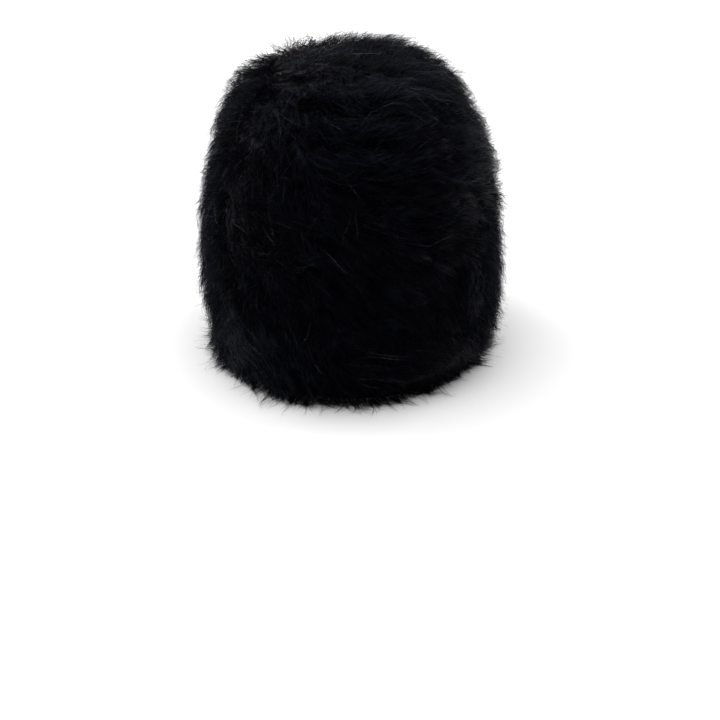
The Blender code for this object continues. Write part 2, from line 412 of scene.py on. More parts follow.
class Waves:
    """Smooth, repeatable unevenness in space: a sum of a few waves at one scale."""

    # How far the waves' sizes differ, and how high each wave is
    SPREAD: tuple[float, float] = (0.6, 1.5)
    HEIGHT: float = 0.5

    def __init__(self, seed: int, size: float, count: int = 7) -> None:
        """Draw the waves.

        Args:
            seed: The source of chance.
            size: The distance over which they change, in metres.
            count: How many waves are summed.
        """
        dice = np.random.default_rng(seed)
        ways = dice.normal(size=(count, 3))
        ways /= np.linalg.norm(ways, axis=1)[:, None]
        self.ways = ways * math.pi / size * dice.uniform(*self.SPREAD, (count, 1))
        self.starts = dice.uniform(0, math.tau, count)

    def at(self, points: np.ndarray) -> np.ndarray:
        """The unevenness at points, mostly within -1 and 1."""
        return np.sin(points @ self.ways.T + self.starts).sum(-1) * self.HEIGHT


@dataclass
class PileForm:
    """The space that the fur fills, read from the solids as a grid of spokes.

    A spoke runs from the knit's outer face to the fur's outer form. Its place is given by
    up, 0 at the rim and 1 at the top, and by its angle about the hat's axis. Spokes are
    level up to the belt and fan out over the dome above it.
    """

    rows: int = 96
    columns: int = 192
    belt_up: float = 0.36
    belt_height: float = 92 * MM
    reach: float = 0.3
    # Below this height the fur's edge is ragged, so the spokes copy the row above it
    fringe_height: float = 9 * MM
    # Where the fur stands fuller, or thinner, than the solids
    full_places: tuple[Patch, ...] = (
        Patch(angle=186, up=0.72, width=38, height=0.12, extra=5.5 * MM),
        Patch(angle=-6, up=0.78, width=40, height=0.14, extra=4 * MM),
        Patch(angle=0, up=0.30, width=50, height=0.30, extra=1.2 * MM),
        Patch(angle=-51, up=0.0, width=23, height=0.06, extra=-14 * MM),
        Patch(angle=-134, up=0.0, width=14, height=0.05, extra=-5 * MM),
        Patch(angle=155, up=0.90, width=40, height=0.06, extra=-3.5 * MM),
        Patch(angle=0, up=1.0, width=1e4, height=0.12, extra=-1.5 * MM),
        Patch(angle=-88, up=0.785, width=45, height=0.045, extra=1.8 * MM),
        Patch(angle=-112, up=0.690, width=20, height=0.022, extra=-3.5 * MM),
        Patch(angle=-86, up=0.715, width=20, height=0.022, extra=-3.5 * MM),
        Patch(angle=-60, up=0.690, width=20, height=0.022, extra=-3.5 * MM),
        Patch(angle=-92, up=0.645, width=40, height=0.025, extra=1.6 * MM),
        Patch(angle=-100, up=0.545, width=26, height=0.022, extra=-2 * MM),
        Patch(angle=-66, up=0.560, width=18, height=0.022, extra=-2 * MM),
    )
    least_pile: float = 6 * MM
    # The pile's tufts, as waves in its height: how far apart and how high
    tufts: tuple[tuple[float, float], ...] = ((24 * MM, 0.9 * MM), (11 * MM, 0.55 * MM))
    # Hair bends away from the surface under the hat from about this height, and goes
    # outwards by this share of what it is raised
    floor_bend: float = 1.6 * MM
    floor_spread: float = 0.8
    # How often the knit's and the fur's form are smoothed, around and up
    knit_smoothing: tuple[int, int] = (3, 3)
    fur_smoothing: tuple[int, int] = (6, 1)
    # The rim's spokes meet the wall a little above its flat edge
    rim_clear: float = 0.5 * MM
    inner: np.ndarray = field(init=False)
    outer: np.ndarray = field(init=False)
    owner: np.ndarray = field(init=False)
    along: np.ndarray = field(init=False)
    around: np.ndarray = field(init=False)

    def spoke(self, up: float, angle: float) -> tuple[Vector, Vector]:
        """Where a spoke starts and goes.

        Args:
            up: Its way up the hat.
            angle: Its angle about the hat's axis, in radians.

        Returns:
            Its start on the axis and its direction.
        """
        if up < self.belt_up:
            start = Vector((0, 0, self.belt_height * up / self.belt_up))
            rise = 0.0
        else:
            start = Vector((0, 0, self.belt_height))
            rise = math.pi / 2 * (up - self.belt_up) / (1 - self.belt_up)
        way = Vector((math.cos(angle) * math.cos(rise), math.sin(angle) * math.cos(rise),
                      math.sin(rise)))
        return start, way

    def grid_places(self) -> tuple[np.ndarray, np.ndarray]:
        """The ways up the hat and the angles of the grid's points."""
        around = np.arange(self.columns) * math.tau / self.columns
        return np.meshgrid(np.linspace(0, 1, self.rows), around, indexing="ij")

    def read(self) -> None:
        """Cast the spokes at the solids and smooth what they meet."""
        knit, _ = tree_of((KNIT_NODE,))
        fur, fur_owner = tree_of(FUR_NODES)
        shape = (self.rows, self.columns)
        start_of_spoke = np.zeros((*shape, 3))
        way_of_spoke = np.zeros((*shape, 3))
        near = np.zeros(shape)
        far = np.zeros(shape)
        self.owner = np.zeros(shape, int)
        for row in range(self.rows):
            for column in range(self.columns):
                start, way = self.spoke(row / (self.rows - 1), math.tau * column / self.columns)
                level = start.copy()
                level.z = max(level.z, self.rim_clear)
                edge = start.copy()
                edge.z = max(edge.z, self.fringe_height)
                hit = knit.ray_cast(level + way * self.reach, -way)
                over = fur.ray_cast(edge + way * self.reach, -way)
                near[row, column] = (hit[0] - level).length
                far[row, column] = (over[0] - edge).length
                self.owner[row, column] = fur_owner[over[2]]
                start_of_spoke[row, column] = start
                way_of_spoke[row, column] = way
        near = blurred(near, *self.knit_smoothing)
        far = blurred(far, *self.fur_smoothing)
        ups, angles = self.grid_places()
        for patch in self.full_places:
            far = far + patch.at(ups, angles)
        for seed, (size, high) in enumerate(self.tufts):
            places = start_of_spoke + way_of_spoke * far[..., None]
            far = far + high * Waves(TUFT_SEED + seed, size).at(places)
        far = np.maximum(far, near + self.least_pile)
        self.inner = start_of_spoke + way_of_spoke * near[..., None]
        self.outer = start_of_spoke + way_of_spoke * far[..., None]
        step_up = 1 / (self.rows - 1)
        self.along = np.linalg.norm(np.gradient(self.outer, step_up, axis=0), axis=2)
        turn = np.roll(self.outer, -1, axis=1) - np.roll(self.outer, 1, axis=1)
        self.around = np.linalg.norm(turn, axis=2) / (2 * math.tau / self.columns)

    def sample(self, grid: np.ndarray, up: np.ndarray, angle: np.ndarray) -> np.ndarray:
        """Read a grid between its points.

        Args:
            grid: One of the form's grids.
            up: Ways up the hat, held within 0 and 1.
            angle: Angles about the hat's axis, in radians.

        Returns:
            The grid's values there.
        """
        row = np.clip(up, 0, 1) * (self.rows - 1)
        column = angle / math.tau * self.columns
        low_row = np.minimum(row.astype(int), self.rows - 2)
        low_column = np.floor(column).astype(int)
        part_row = row - low_row
        part_column = column - low_column
        if grid.ndim == 3:
            part_row = part_row[..., None]
            part_column = part_column[..., None]
        first = low_column % self.columns
        second = (low_column + 1) % self.columns
        below = grid[low_row, first] * (1 - part_column) + grid[low_row, second] * part_column
        above = (grid[low_row + 1, first] * (1 - part_column)
                 + grid[low_row + 1, second] * part_column)
        return below * (1 - part_row) + above * part_row

    def place(self, points: np.ndarray) -> tuple[np.ndarray, np.ndarray]:
        """Find points near the outside on the form.

        Args:
            points: The points, in metres.

        Returns:
            Their ways up the hat and their angles.
        """
        level = points[..., 2] / self.belt_height * self.belt_up
        rise = np.arctan2(points[..., 2] - self.belt_height,
                          np.linalg.norm(points[..., :2], axis=-1))
        over = self.belt_up + (1 - self.belt_up) * rise / (math.pi / 2)
        return np.where(rise > 0, over, level), np.arctan2(points[..., 1], points[..., 0])

    def ways(self, up: np.ndarray, angle: np.ndarray) -> tuple[np.ndarray, np.ndarray]:
        """The directions along the outside.

        Args:
            up: Ways up the hat.
            angle: Angles about its axis, in radians.

        Returns:
            Down it, and across it, anticlockwise seen from above.
        """
        step = 1 / self.rows
        middle = np.clip(up, step, 1 - step)
        down = self.sample(self.outer, middle - step, angle) - self.sample(
            self.outer, middle + step, angle)
        across = np.stack([-np.sin(angle), np.cos(angle), np.zeros_like(angle)], axis=-1)
        return unit(down), across

    def surface(self, up: np.ndarray, angle: np.ndarray) -> np.ndarray:
        """Points on the outside.

        Args:
            up: Ways up the hat; below 0 they are straight under the rim.
            angle: Angles about its axis, in radians.

        Returns:
            One point for each, in metres.
        """
        points = self.sample(self.outer, up, angle)
        points[..., 2] += np.minimum(up, 0) * self.belt_height / self.belt_up
        return points

    def point(self, up: np.ndarray, angle: np.ndarray, depth: np.ndarray) -> np.ndarray:
        """Points in the pile; below the rim they hang down, then lie out on the surface.

        Args:
            up: Ways up the hat; below 0 is past the rim.
            angle: Angles about the hat's axis, in radians.
            depth: 0 at the knit and 1 at the outer form.

        Returns:
            One point for each, in metres.
        """
        inner = self.sample(self.inner, up, angle)
        outer = self.sample(self.outer, up, angle)
        points = inner + (outer - inner) * depth[..., None]
        points[..., 2] += np.minimum(up, 0) * self.belt_height / self.belt_up
        high = points[..., 2] - FLOOR_CLEAR
        short = self.floor_bend * np.logaddexp(0, high / self.floor_bend) - high
        points[..., 0] += np.cos(angle) * short * self.floor_spread
        points[..., 1] += np.sin(angle) * short * self.floor_spread
        points[..., 2] += short
        return points


@dataclass(frozen=True)
class CombZone(Patch):
    """A patch of fur that is combed one way; extra is how firmly, next to other zones.

    turn is how many degrees its hair turns from straight down, towards the right of someone
    behind the hat.
    """

    turn: float = 0.0


@dataclass
class Combing:
    """Which way the fur lies at each place."""

    form: PileForm
    zones: tuple[CombZone, ...] = (
        CombZone(angle=-78, up=0.72, width=40, height=0.10, extra=2.0, turn=82),
        CombZone(angle=-60, up=0.58, width=30, height=0.10, extra=1.6, turn=74),
        CombZone(angle=-118, up=0.60, width=24, height=0.12, extra=1.2, turn=52),
        CombZone(angle=-150, up=0.60, width=22, height=0.16, extra=1.6, turn=-20),
        CombZone(angle=-95, up=0.44, width=36, height=0.09, extra=1.6, turn=80),
        CombZone(angle=-120, up=0.20, width=30, height=0.14, extra=1.8, turn=42),
        CombZone(angle=-82, up=0.22, width=26, height=0.13, extra=1.8, turn=50),
        CombZone(angle=-48, up=0.18, width=20, height=0.16, extra=1.8, turn=4),
        CombZone(angle=0, up=0.32, width=34, height=0.24, extra=1.4, turn=14),
        CombZone(angle=-20, up=0.55, width=24, height=0.12, extra=1.5, turn=46),
        CombZone(angle=180, up=0.36, width=30, height=0.26, extra=1.4, turn=-6),
        CombZone(angle=90, up=0.40, width=50, height=0.40, extra=0.9, turn=28),
    )
    plain_turn: float = 30.0
    plain_weight: float = 0.35
    # The crown is combed one way over, towards +X and a little back, from one way up the hat
    # and wholly from another
    crown_way: tuple[float, float, float] = (0.93, -0.36, 0.0)
    crown_weight: float = 2.4
    crown_from: float = 0.70
    crown_whole: float = 0.92
    # Uneven turns of the lay: by how many degrees and how far apart
    swirls: tuple[tuple[float, float], ...] = ((20.0, 42 * MM), (9.0, 13 * MM))

    def lay(self, up: np.ndarray, angle: np.ndarray, turn: np.ndarray) -> np.ndarray:
        """The direction that hair lies in.

        Args:
            up: Ways up the hat.
            angle: Angles about its axis, in radians.
            turn: Each hair's own turn from the others, in radians.

        Returns:
            Unit vectors along the outside.
        """
        down = np.full(up.shape, self.plain_weight * math.cos(math.radians(self.plain_turn)))
        across = np.full(up.shape, self.plain_weight * math.sin(math.radians(self.plain_turn)))
        for zone in self.zones:
            share = zone.at(up, angle)
            down += share * math.cos(math.radians(zone.turn))
            across += share * math.sin(math.radians(zone.turn))
        down_way, across_way = self.form.ways(up, angle)
        out_way = np.cross(across_way, -down_way)
        share = np.clip((up - self.crown_from) / (self.crown_whole - self.crown_from), 0, 1)
        over = np.array(self.crown_way) * (self.crown_weight * share ** 2)[..., None]
        way = down[..., None] * down_way + across[..., None] * across_way + over
        way = unit(way - (way * out_way).sum(-1, keepdims=True) * out_way)
        places = self.form.surface(up, angle)
        for seed, (swirl, size) in enumerate(self.swirls):
            turn = turn + math.radians(swirl) * Waves(SWIRL_SEED + seed, size).at(places)
        return way * np.cos(turn)[..., None] + np.cross(out_way, way) * np.sin(turn)[..., None]


class Coat(enum.Enum):
    """The kinds of hair in the pile."""

    UNDERFUR = "underfur"
    TOP_HAIR = "top_hair"
    GUARD_HAIR = "guard_hair"
    FUZZ = "fuzz"
    FRINGE = "fringe"
    BROWN_TIP = "brown_tip"
    WISP = "wisp"


@dataclass(frozen=True)
class HairKind:
    """One kind of hair: how dense, long, thick and lifted it is, and how it clumps.

    Drawn hairs are many times thicker than real ones of 0.02 mm, so that they show. Depths
    are shares of the pile, from the knit out. tints are places on the dye's range, of which
    a higher rarity leaves the pale end to fewer hairs. past_rim is how far hair may reach
    past the rim, and a higher past_power leaves that to fewer hairs. spots are where the
    kind grows, if not all over.
    """

    per_cm2: float
    length: float
    width: float
    points: int
    root_depth: float
    tip_depth: float
    tints: tuple[float, float]
    rarity: float = 2.4
    length_spread: float = 0.3
    depth_spread: float = 0.10
    turn_spread: float = 16.0
    per_clump: int = 1
    clump_size: float = 0.5 * MM
    gather: float = 0.2
    kink: float = 0.35 * MM
    past_rim: float = 4 * MM
    past_power: float = 0.7
    spots: tuple[Patch, ...] = ()
    # Like rarity, for the dark end of the tints
    dark_rarity: float = 2.0
    # A hair's own width next to its kind's, and the most that is cut from its length
    width_limits: tuple[float, float] = (0.75, 1.25)
    most_cut: float = 0.35
    # A clump's depth, next to its width
    clump_depth: float = 0.35
    # How late a clump gathers and a hair kinks on its way to the tip
    gather_power: float = 1.2
    kink_power: float = 0.8


HAIR_KINDS: dict[Coat, HairKind] = {
    Coat.UNDERFUR: HairKind(
        per_cm2=11.5, length=14 * MM, width=0.62 * MM, points=3, root_depth=0.38,
        tip_depth=0.92, tints=(0.03, 0.46), rarity=5.0, turn_spread=20, per_clump=3,
        clump_size=2.2 * MM, gather=0.15, kink=0.5 * MM),
    Coat.TOP_HAIR: HairKind(
        per_cm2=22, length=25 * MM, width=0.27 * MM, points=4, root_depth=0.48,
        tip_depth=1.08, tints=(0.03, 0.74), rarity=5.0, turn_spread=12, per_clump=4,
        clump_size=2.0 * MM, gather=0.2),
    Coat.GUARD_HAIR: HairKind(
        per_cm2=1.9, length=34 * MM, width=0.14 * MM, points=5, root_depth=0.65,
        tip_depth=1.14, tints=(0.40, 0.90), rarity=3.5, length_spread=0.4,
        turn_spread=22, kink=0.8 * MM),
    Coat.FUZZ: HairKind(
        per_cm2=11, length=5 * MM, width=0.15 * MM, points=3, root_depth=0.80,
        tip_depth=1.28, tints=(0.2, 0.70), length_spread=0.4, depth_spread=0.12,
        turn_spread=50),
    Coat.FRINGE: HairKind(
        per_cm2=17, length=40 * MM, width=0.20 * MM, points=4, root_depth=0.5,
        tip_depth=0.98, tints=(0.04, 0.56), turn_spread=34, per_clump=2,
        clump_size=1.8 * MM, gather=0.1, kink=0.9 * MM, past_rim=26 * MM, past_power=2.4,
        spots=(Patch(angle=0, up=0.0, width=1e4, height=0.06),)),
    Coat.WISP: HairKind(
        per_cm2=15, length=50 * MM, width=0.25 * MM, points=5, root_depth=0.6,
        tip_depth=0.98, tints=(0.04, 0.50), turn_spread=28, per_clump=3,
        clump_size=1.6 * MM, gather=0.6, kink=1.1 * MM, past_rim=33 * MM, past_power=0.8,
        spots=(Patch(angle=-96, up=0.0, width=44, height=0.055),
               Patch(angle=90, up=0.0, width=40, height=0.055))),
    Coat.BROWN_TIP: HairKind(
        per_cm2=2.6, length=8 * MM, width=0.18 * MM, points=3, root_depth=0.85,
        tip_depth=1.3, tints=(0.92, 1.0), turn_spread=40,
        spots=(Patch(angle=-6, up=0.68, width=22, height=0.09),
               Patch(angle=140, up=0.88, width=60, height=0.10))),
}


@dataclass
class HairMesh:
    """Tapered three-sided hairs, gathered before they become one mesh."""

    sides: int = 3
    # How wide a hair's strip of the map is
    tint_width: float = 1 / 400
    # How much thinner than its root a hair is near its tip, and how late it thins
    thinning: float = 0.75
    thinning_power: float = 1.6
    # The share of the map, at its foot, that a hair's root end is drawn on
    root_strip: float = 0.02
    points: list = field(default_factory=list)
    faces: list = field(default_factory=list)
    maps: list = field(default_factory=list)
    count: int = 0

    def add(self, paths: np.ndarray, up_way: np.ndarray, width: np.ndarray,
            tint: np.ndarray) -> None:
        """Add hairs along paths.

        Args:
            paths: Hairs by points by 3, root first.
            up_way: The direction out of the pile at each hair, hairs by 3.
            width: Each hair's width at its root.
            tint: Each hair's tint, 0 to 1.
        """
        hairs, stations, _ = paths.shape
        rings = stations - 1
        along = unit(np.gradient(paths, axis=1)[:, :rings])
        side = unit(np.cross(along, up_way[:, None, :]))
        top = np.cross(side, along)
        way = np.arange(rings) / rings
        half = width[:, None] / 2 * (1 - self.thinning * way ** self.thinning_power)[None, :]
        corners = []
        for corner in range(self.sides):
            angle = math.tau * corner / self.sides + math.pi / 2
            corners.append(paths[:, :rings] + half[..., None] * (
                math.cos(angle) * side + math.sin(angle) * top))
        ring_points = np.stack(corners, axis=2).reshape(hairs, rings * self.sides, 3)
        every = np.concatenate([ring_points, paths[:, -1:]], axis=1)
        per_hair = every.shape[1]
        first = self.count + np.arange(hairs)[:, None] * per_hair
        self.points.append(every.reshape(-1, 3))
        self.count += hairs * per_hair
        edges = np.stack([tint, tint + self.tint_width], axis=1) * (1 - 2 * self.tint_width)
        for ring in range(rings - 1):
            low, high = way[ring], way[ring + 1]
            for corner in range(self.sides):
                after = (corner + 1) % self.sides
                quad = [ring * self.sides + corner, ring * self.sides + after,
                        (ring + 1) * self.sides + after, (ring + 1) * self.sides + corner]
                self.keep(first, quad, edges, ((0, low), (1, low), (1, high), (0, high)))
        last = (rings - 1) * self.sides
        tip = rings * self.sides
        for corner in range(self.sides):
            after = (corner + 1) % self.sides
            self.keep(first, [last + corner, last + after, tip], edges,
                      ((0, way[-1]), (1, way[-1]), (1, 1.0)))
        self.keep(first, [2, 1, 0], edges, ((0, 0.0), (1, 0.0), (1, self.root_strip)))

    def keep(self, first: np.ndarray, corners: list[int], edges: np.ndarray,
             places: tuple[tuple[int, float], ...]) -> None:
        """Keep one face of every hair.

        Args:
            first: Each hair's first point.
            corners: The face's points, counted from the first.
            edges: The left and right edge of each hair's strip of the map.
            places: For each corner, which edge it is on and how far up the map.
        """
        self.faces.append(first + np.array(corners))
        strip = [np.stack([edges[:, edge], np.full(len(edges), rise)], axis=1)
                 for edge, rise in places]
        self.maps.append(np.stack(strip, axis=1))

    def mesh(self, name: str) -> bpy.types.Mesh:
        """Turn what was gathered into a mesh.

        Args:
            name: The mesh's name.

        Returns:
            The mesh, with its map.
        """
        points = np.concatenate(self.points)
        sizes = np.concatenate([np.full(len(f), f.shape[1]) for f in self.faces])
        corners = np.concatenate([f.ravel() for f in self.faces])
        places = np.concatenate([m.reshape(-1, 2) for m in self.maps])
        data = bpy.data.meshes.new(name)
        data.vertices.add(len(points))
        data.vertices.foreach_set("co", points.ravel())
        data.loops.add(len(corners))
        data.loops.foreach_set("vertex_index", corners.astype(np.int32))
        data.polygons.add(len(sizes))
        starts = np.concatenate([[0], np.cumsum(sizes)[:-1]])
        data.polygons.foreach_set("loop_start", starts.astype(np.int32))
        data.update(calc_edges=True)
        layer = data.uv_layers.new(name=HAIR_MAP)
        layer.uv.foreach_set("vector", places.astype(np.float32).ravel())
        data.validate()
        data.shade_smooth()
        return data


@dataclass(frozen=True)
class Locks:
    """For each clump of hair: its lock's turn and lift, and how far it is from its middle."""

    turn: np.ndarray
    lift: np.ndarray
    pull: np.ndarray


@dataclass
class FurRound:
    """One round of fur, or the crown's: a mat of underfur and the hairs in it."""

    node: str
    form: PileForm
    combing: Combing
    # The fur parts into locks: how wide they are, how far in degrees and in shares of the
    # pile they differ, and how far and how late their hairs draw in to the middle
    lock_size: float = 13 * MM
    least_locks: int = 6
    lock_turn: float = 18.0
    lock_lift: float = 0.10
    lock_gather: float = 0.34
    gather_power: float = 1.4
    # A patch of one kind of hair ends where it has fallen to this
    spot_edge: float = 0.4
    # Roots stay this far, in ways up, from the rim and from the top
    root_margin: float = 0.002
    # How far a hair's length goes from its kind's, and how early a hair rises to its tip
    length_limits: tuple[float, float] = (0.5, 1.7)
    rise_power: float = 1.9
    # How much hairs of one clump differ in paleness
    hair_tone: float = 0.85
    # Clumps that stand out are painted paler, and those that lie low darker, as painted light on
    # the tufts and painted shade in the pits between them, within limits
    pit_shade_rise: float = 2.2
    tone_limits: tuple[float, float] = (0.3, 1.6)
    least_tone: float = 0.1
    # Where the fur's tints are painted paler to stand for light falling on it, or darker to stand
    # for shade, as along the rim by the floor and in the valleys under the ledges
    painted_light_and_shade_places: tuple[Patch, ...] = (
        Patch(angle=-129, up=0.73, width=9, height=0.04, extra=1.8),
        Patch(angle=-55, up=0.79, width=40, height=0.08, extra=1.8),
        Patch(angle=-126, up=0.12, width=17, height=0.08, extra=1.4),
        Patch(angle=-146, up=0.20, width=14, height=0.14, extra=1.4),
        Patch(angle=-152, up=0.40, width=14, height=0.20, extra=0.3),
        Patch(angle=-24, up=0.38, width=12, height=0.30, extra=0.3),
        Patch(angle=-138, up=0.60, width=20, height=0.09, extra=-0.85),
        Patch(angle=-136, up=0.42, width=10, height=0.20, extra=-0.7),
        Patch(angle=-80, up=0.80, width=30, height=0.06, extra=2.2),
        Patch(angle=-88, up=0.70, width=44, height=0.03, extra=-0.8),
        Patch(angle=0, up=0.96, width=1e4, height=0.05, extra=-0.35),
        Patch(angle=-84, up=0.34, width=38, height=0.20, extra=-0.8),
        Patch(angle=-50, up=0.10, width=28, height=0.14, extra=-0.35),
        Patch(angle=0, up=-0.01, width=1e4, height=0.04, extra=-0.2),
    )
    # How much of the pile the mat fills, and how rough it is
    mat_share: float = 0.34
    mat_roughness: float = 0.7 * MM
    mat_grain: float = 5 * MM
    # The mat thins to this share of itself towards the rim, over this height
    mat_thinnest: float = 0.5
    mat_taper: float = 14 * MM
    # The mat stays as it is where it is nearer to the knit than this
    mat_seat: float = 2 * MM
    # The corner of the map that is all root colour
    mat_map: tuple[tuple[float, float], ...] = ((0.001, 0.0), (0.004, 0.0), (0.004, 0.004))

    @property
    def index(self) -> int:
        """The round's number, from the rim up."""
        return FUR_NODES.index(self.node)

    def area_cells(self, spots: tuple[Patch, ...] = ()) -> tuple[np.ndarray, np.ndarray]:
        """The form's cells whose fur belongs to this round.

        Args:
            spots: Patches to look in; without any, the whole round.

        Returns:
            Their numbers in the flattened grid, and their areas in square centimetres.
        """
        form = self.form
        cell = (form.along / (form.rows - 1)) * (form.around * math.tau / form.columns)
        mine = form.owner == self.index
        if spots:
            ups, angles = form.grid_places()
            mine &= sum(spot.at(ups, angles) for spot in spots) > self.spot_edge
        mine = np.flatnonzero(mine.ravel())
        return mine, cell.ravel()[mine] * 1e4

    def roots(self, dice: np.random.Generator, count: int,
              spots: tuple[Patch, ...] = ()) -> tuple[np.ndarray, np.ndarray]:
        """Places for roots, spread evenly over the round.

        Args:
            dice: The source of chance.
            count: How many.
            spots: Patches that they are in; without any, they are all over the round.

        Returns:
            Ways up the hat and angles.
        """
        cells, areas = self.area_cells(spots)
        picked = dice.choice(cells, size=count, p=areas / areas.sum())
        row, column = np.divmod(picked, self.form.columns)
        up = (row + dice.uniform(-0.5, 0.5, count)) / (self.form.rows - 1)
        angle = (column + dice.uniform(-0.5, 0.5, count)) * math.tau / self.form.columns
        return np.clip(up, self.root_margin, 1 - self.root_margin), angle

    def walk(self, up: np.ndarray, angle: np.ndarray, turn: np.ndarray, length: np.ndarray,
             stations: int) -> tuple[np.ndarray, np.ndarray]:
        """Follow the lay of the fur from roots.

        Args:
            up: Ways up the hat at the roots.
            angle: Angles at the roots.
            turn: Each path's own turn, in radians.
            length: Each path's length, in metres.
            stations: Points on each path.

        Returns:
            Ways up the hat and angles, paths by points.
        """
        ups, angles = [up], [angle]
        step = (length / (stations - 1))[:, None]
        for _ in range(stations - 1):
            points = self.form.surface(up, angle) + self.combing.lay(up, angle, turn) * step
            up, angle = self.form.place(points)
            ups.append(up)
            angles.append(angle)
        return np.stack(ups, axis=1), np.stack(angles, axis=1)

    def grow(self, hairs: HairMesh, coat: Coat) -> None:
        """Grow one kind of hair over the round.

        Args:
            hairs: Where the hairs are gathered.
            coat: Which kind.
        """
        kind = HAIR_KINDS[coat]
        dice = np.random.default_rng([self.index, list(Coat).index(coat)])
        clumps = int(self.area_cells(kind.spots)[1].sum() * kind.per_cm2 / kind.per_clump)
        if clumps == 0:
            return
        up, angle = self.roots(dice, clumps, kind.spots)
        locks = self.locks(up, angle)
        turn = math.radians(self.lock_turn) * locks.turn + dice.normal(
            0, math.radians(kind.turn_spread), clumps)
        spread = np.exp(dice.normal(0, kind.length_spread, clumps))
        length = kind.length * spread.clip(*self.length_limits)
        past = kind.past_rim * dice.uniform(0.0, 1.0, clumps) ** kind.past_power
        length = np.minimum(length, up * self.form.belt_height / self.form.belt_up + past)
        ups, angles = self.walk(up, angle, turn, length, kind.points)
        way = np.linspace(0, 1, kind.points)
        rise = dice.normal(0, kind.depth_spread, clumps) + self.lock_lift * locks.lift
        tip = kind.tip_depth + rise
        risen = 1 - (1 - way) ** self.rise_power
        depth = kind.root_depth + (tip - kind.root_depth)[:, None] * risen
        paths = self.form.point(ups, angles, depth)
        down_way, across_way = self.form.ways(up, angle)
        out_way = np.cross(across_way, -down_way)
        side = unit(np.cross(out_way, paths[:, -1] - paths[:, 0]))
        pull = (locks.pull * side).sum(1, keepdims=True) * side
        drawn_in = self.lock_gather * way ** self.gather_power
        paths = paths - pull[:, None, :] * drawn_in[None, :, None]
        # Painted light and shade: tints rise where light is painted on the fur and fall where
        # shade is painted
        painted_light_and_shade = 1 + sum(patch.at(up, angle) for patch in self.painted_light_and_shade_places)
        # Painted light and shade by height: clumps that stand out are paler and those that lie low
        # are darker
        raised = (1 + self.pit_shade_rise * rise).clip(*self.tone_limits)
        tone = dice.beta(kind.dark_rarity, kind.rarity, clumps) * raised
        tone = tone * np.maximum(painted_light_and_shade, self.least_tone)
        self.add_clumps(hairs, kind, dice, paths, out_way, tone)

    def locks(self, up: np.ndarray, angle: np.ndarray) -> Locks:
        """Find the locks that clumps belong to.

        Args:
            up: The clumps' ways up the hat.
            angle: Their angles.

        Returns:
            For each clump, what it takes from its lock.
        """
        dice = np.random.default_rng([self.index, LOCK_SEED])
        area = self.area_cells()[1].sum() * 1e-4
        count = max(int(area / self.lock_size ** 2), self.least_locks)
        centres = self.form.surface(*self.roots(dice, count))
        places = self.form.surface(up, angle)
        near = ((places[:, None, :] - centres[None]) ** 2).sum(-1).argmin(1)
        turn = dice.normal(0, 1, count)[near]
        lift = dice.normal(0, 1, count)[near]
        return Locks(turn, lift, places - centres[near])

    def add_clumps(self, hairs: HairMesh, kind: HairKind, dice: np.random.Generator,
                   paths: np.ndarray, out_way: np.ndarray, tone: np.ndarray) -> None:
        """Add the hairs of each clump around its path.

        Args:
            hairs: Where the hairs are gathered.
            kind: The kind of hair.
            dice: The source of chance.
            paths: The clumps' paths.
            out_way: The direction out of the pile at each clump.
            tone: How pale each clump is within its kind's tints, 0 to 1.
        """
        paths = np.repeat(paths, kind.per_clump, axis=0)
        out_way = np.repeat(out_way, kind.per_clump, axis=0)
        count, stations, _ = paths.shape
        way = np.linspace(0, 1, stations)
        along = unit(paths[:, -1] - paths[:, 0])
        side = unit(np.cross(out_way, along))
        off = dice.normal(0, kind.clump_size, (count, 3))
        offset = off[:, :1] * side + off[:, 1:2] * along + kind.clump_depth * off[:, 2:] * out_way
        open_share = 1 - kind.gather * way ** kind.gather_power
        paths = paths + offset[:, None, :] * open_share[None, :, None]
        later = way ** kind.kink_power
        stray = dice.normal(0, kind.kink, (count, stations)) * later
        lift = dice.normal(0, kind.kink / 2, (count, stations)) * later
        paths = paths + stray[..., None] * side[:, None, :] + lift[..., None] * out_way[:, None, :]
        ends = 1 - dice.uniform(0, kind.most_cut, count)
        paths = paths[:, :1] + (paths - paths[:, :1]) * ends[:, None, None]
        # No hair reaches under the surface that the hat rests on
        paths[..., 2] = np.maximum(paths[..., 2], FLOOR_CLEAR)
        width = kind.width * dice.uniform(*kind.width_limits, count)
        own = np.repeat(tone, kind.per_clump) * np.exp(dice.normal(0, self.hair_tone, count))
        low, high = kind.tints
        hairs.add(paths, out_way, width, low + (high - low) * own.clip(0, 1))

    def mat(self) -> bpy.types.Mesh:
        """The mat of underfur: the round's solid, drawn in towards the knit and roughened.

        Returns:
            The mat's mesh, whose map holds the root's colour.
        """
        knit, _ = tree_of((KNIT_NODE,))
        mesh = bmesh.new()
        mesh.from_mesh(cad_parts[self.node].data)
        bmesh.ops.remove_doubles(mesh, verts=mesh.verts[:], dist=1e-6)
        points = np.array([vertex.co for vertex in mesh.verts])
        rough = Waves(MAT_SEED, self.mat_grain).at(points) * self.mat_roughness
        for vertex, extra in zip(mesh.verts, rough):
            seat = knit.find_nearest(vertex.co)[0]
            away = vertex.co - seat
            rise = min(max(vertex.co.z, 0.0) / self.mat_taper, 1.0)
            thin = self.mat_thinnest + (1 - self.mat_thinnest) * rise
            grown = self.mat_share * thin + extra / max(away.length, self.mat_seat)
            vertex.co = seat + away * (grown if away.length > self.mat_seat else 1.0)
            vertex.co.z = max(vertex.co.z, FLOOR_CLEAR)
        bmesh.ops.triangulate(mesh, faces=mesh.faces[:])
        layer = mesh.loops.layers.uv.new(HAIR_MAP)
        for face in mesh.faces:
            face.smooth = True
            for loop, place in zip(face.loops, self.mat_map):
                loop[layer].uv = place
        data = bpy.data.meshes.new(self.node + "_mat")
        mesh.to_mesh(data)
        mesh.free()
        return data

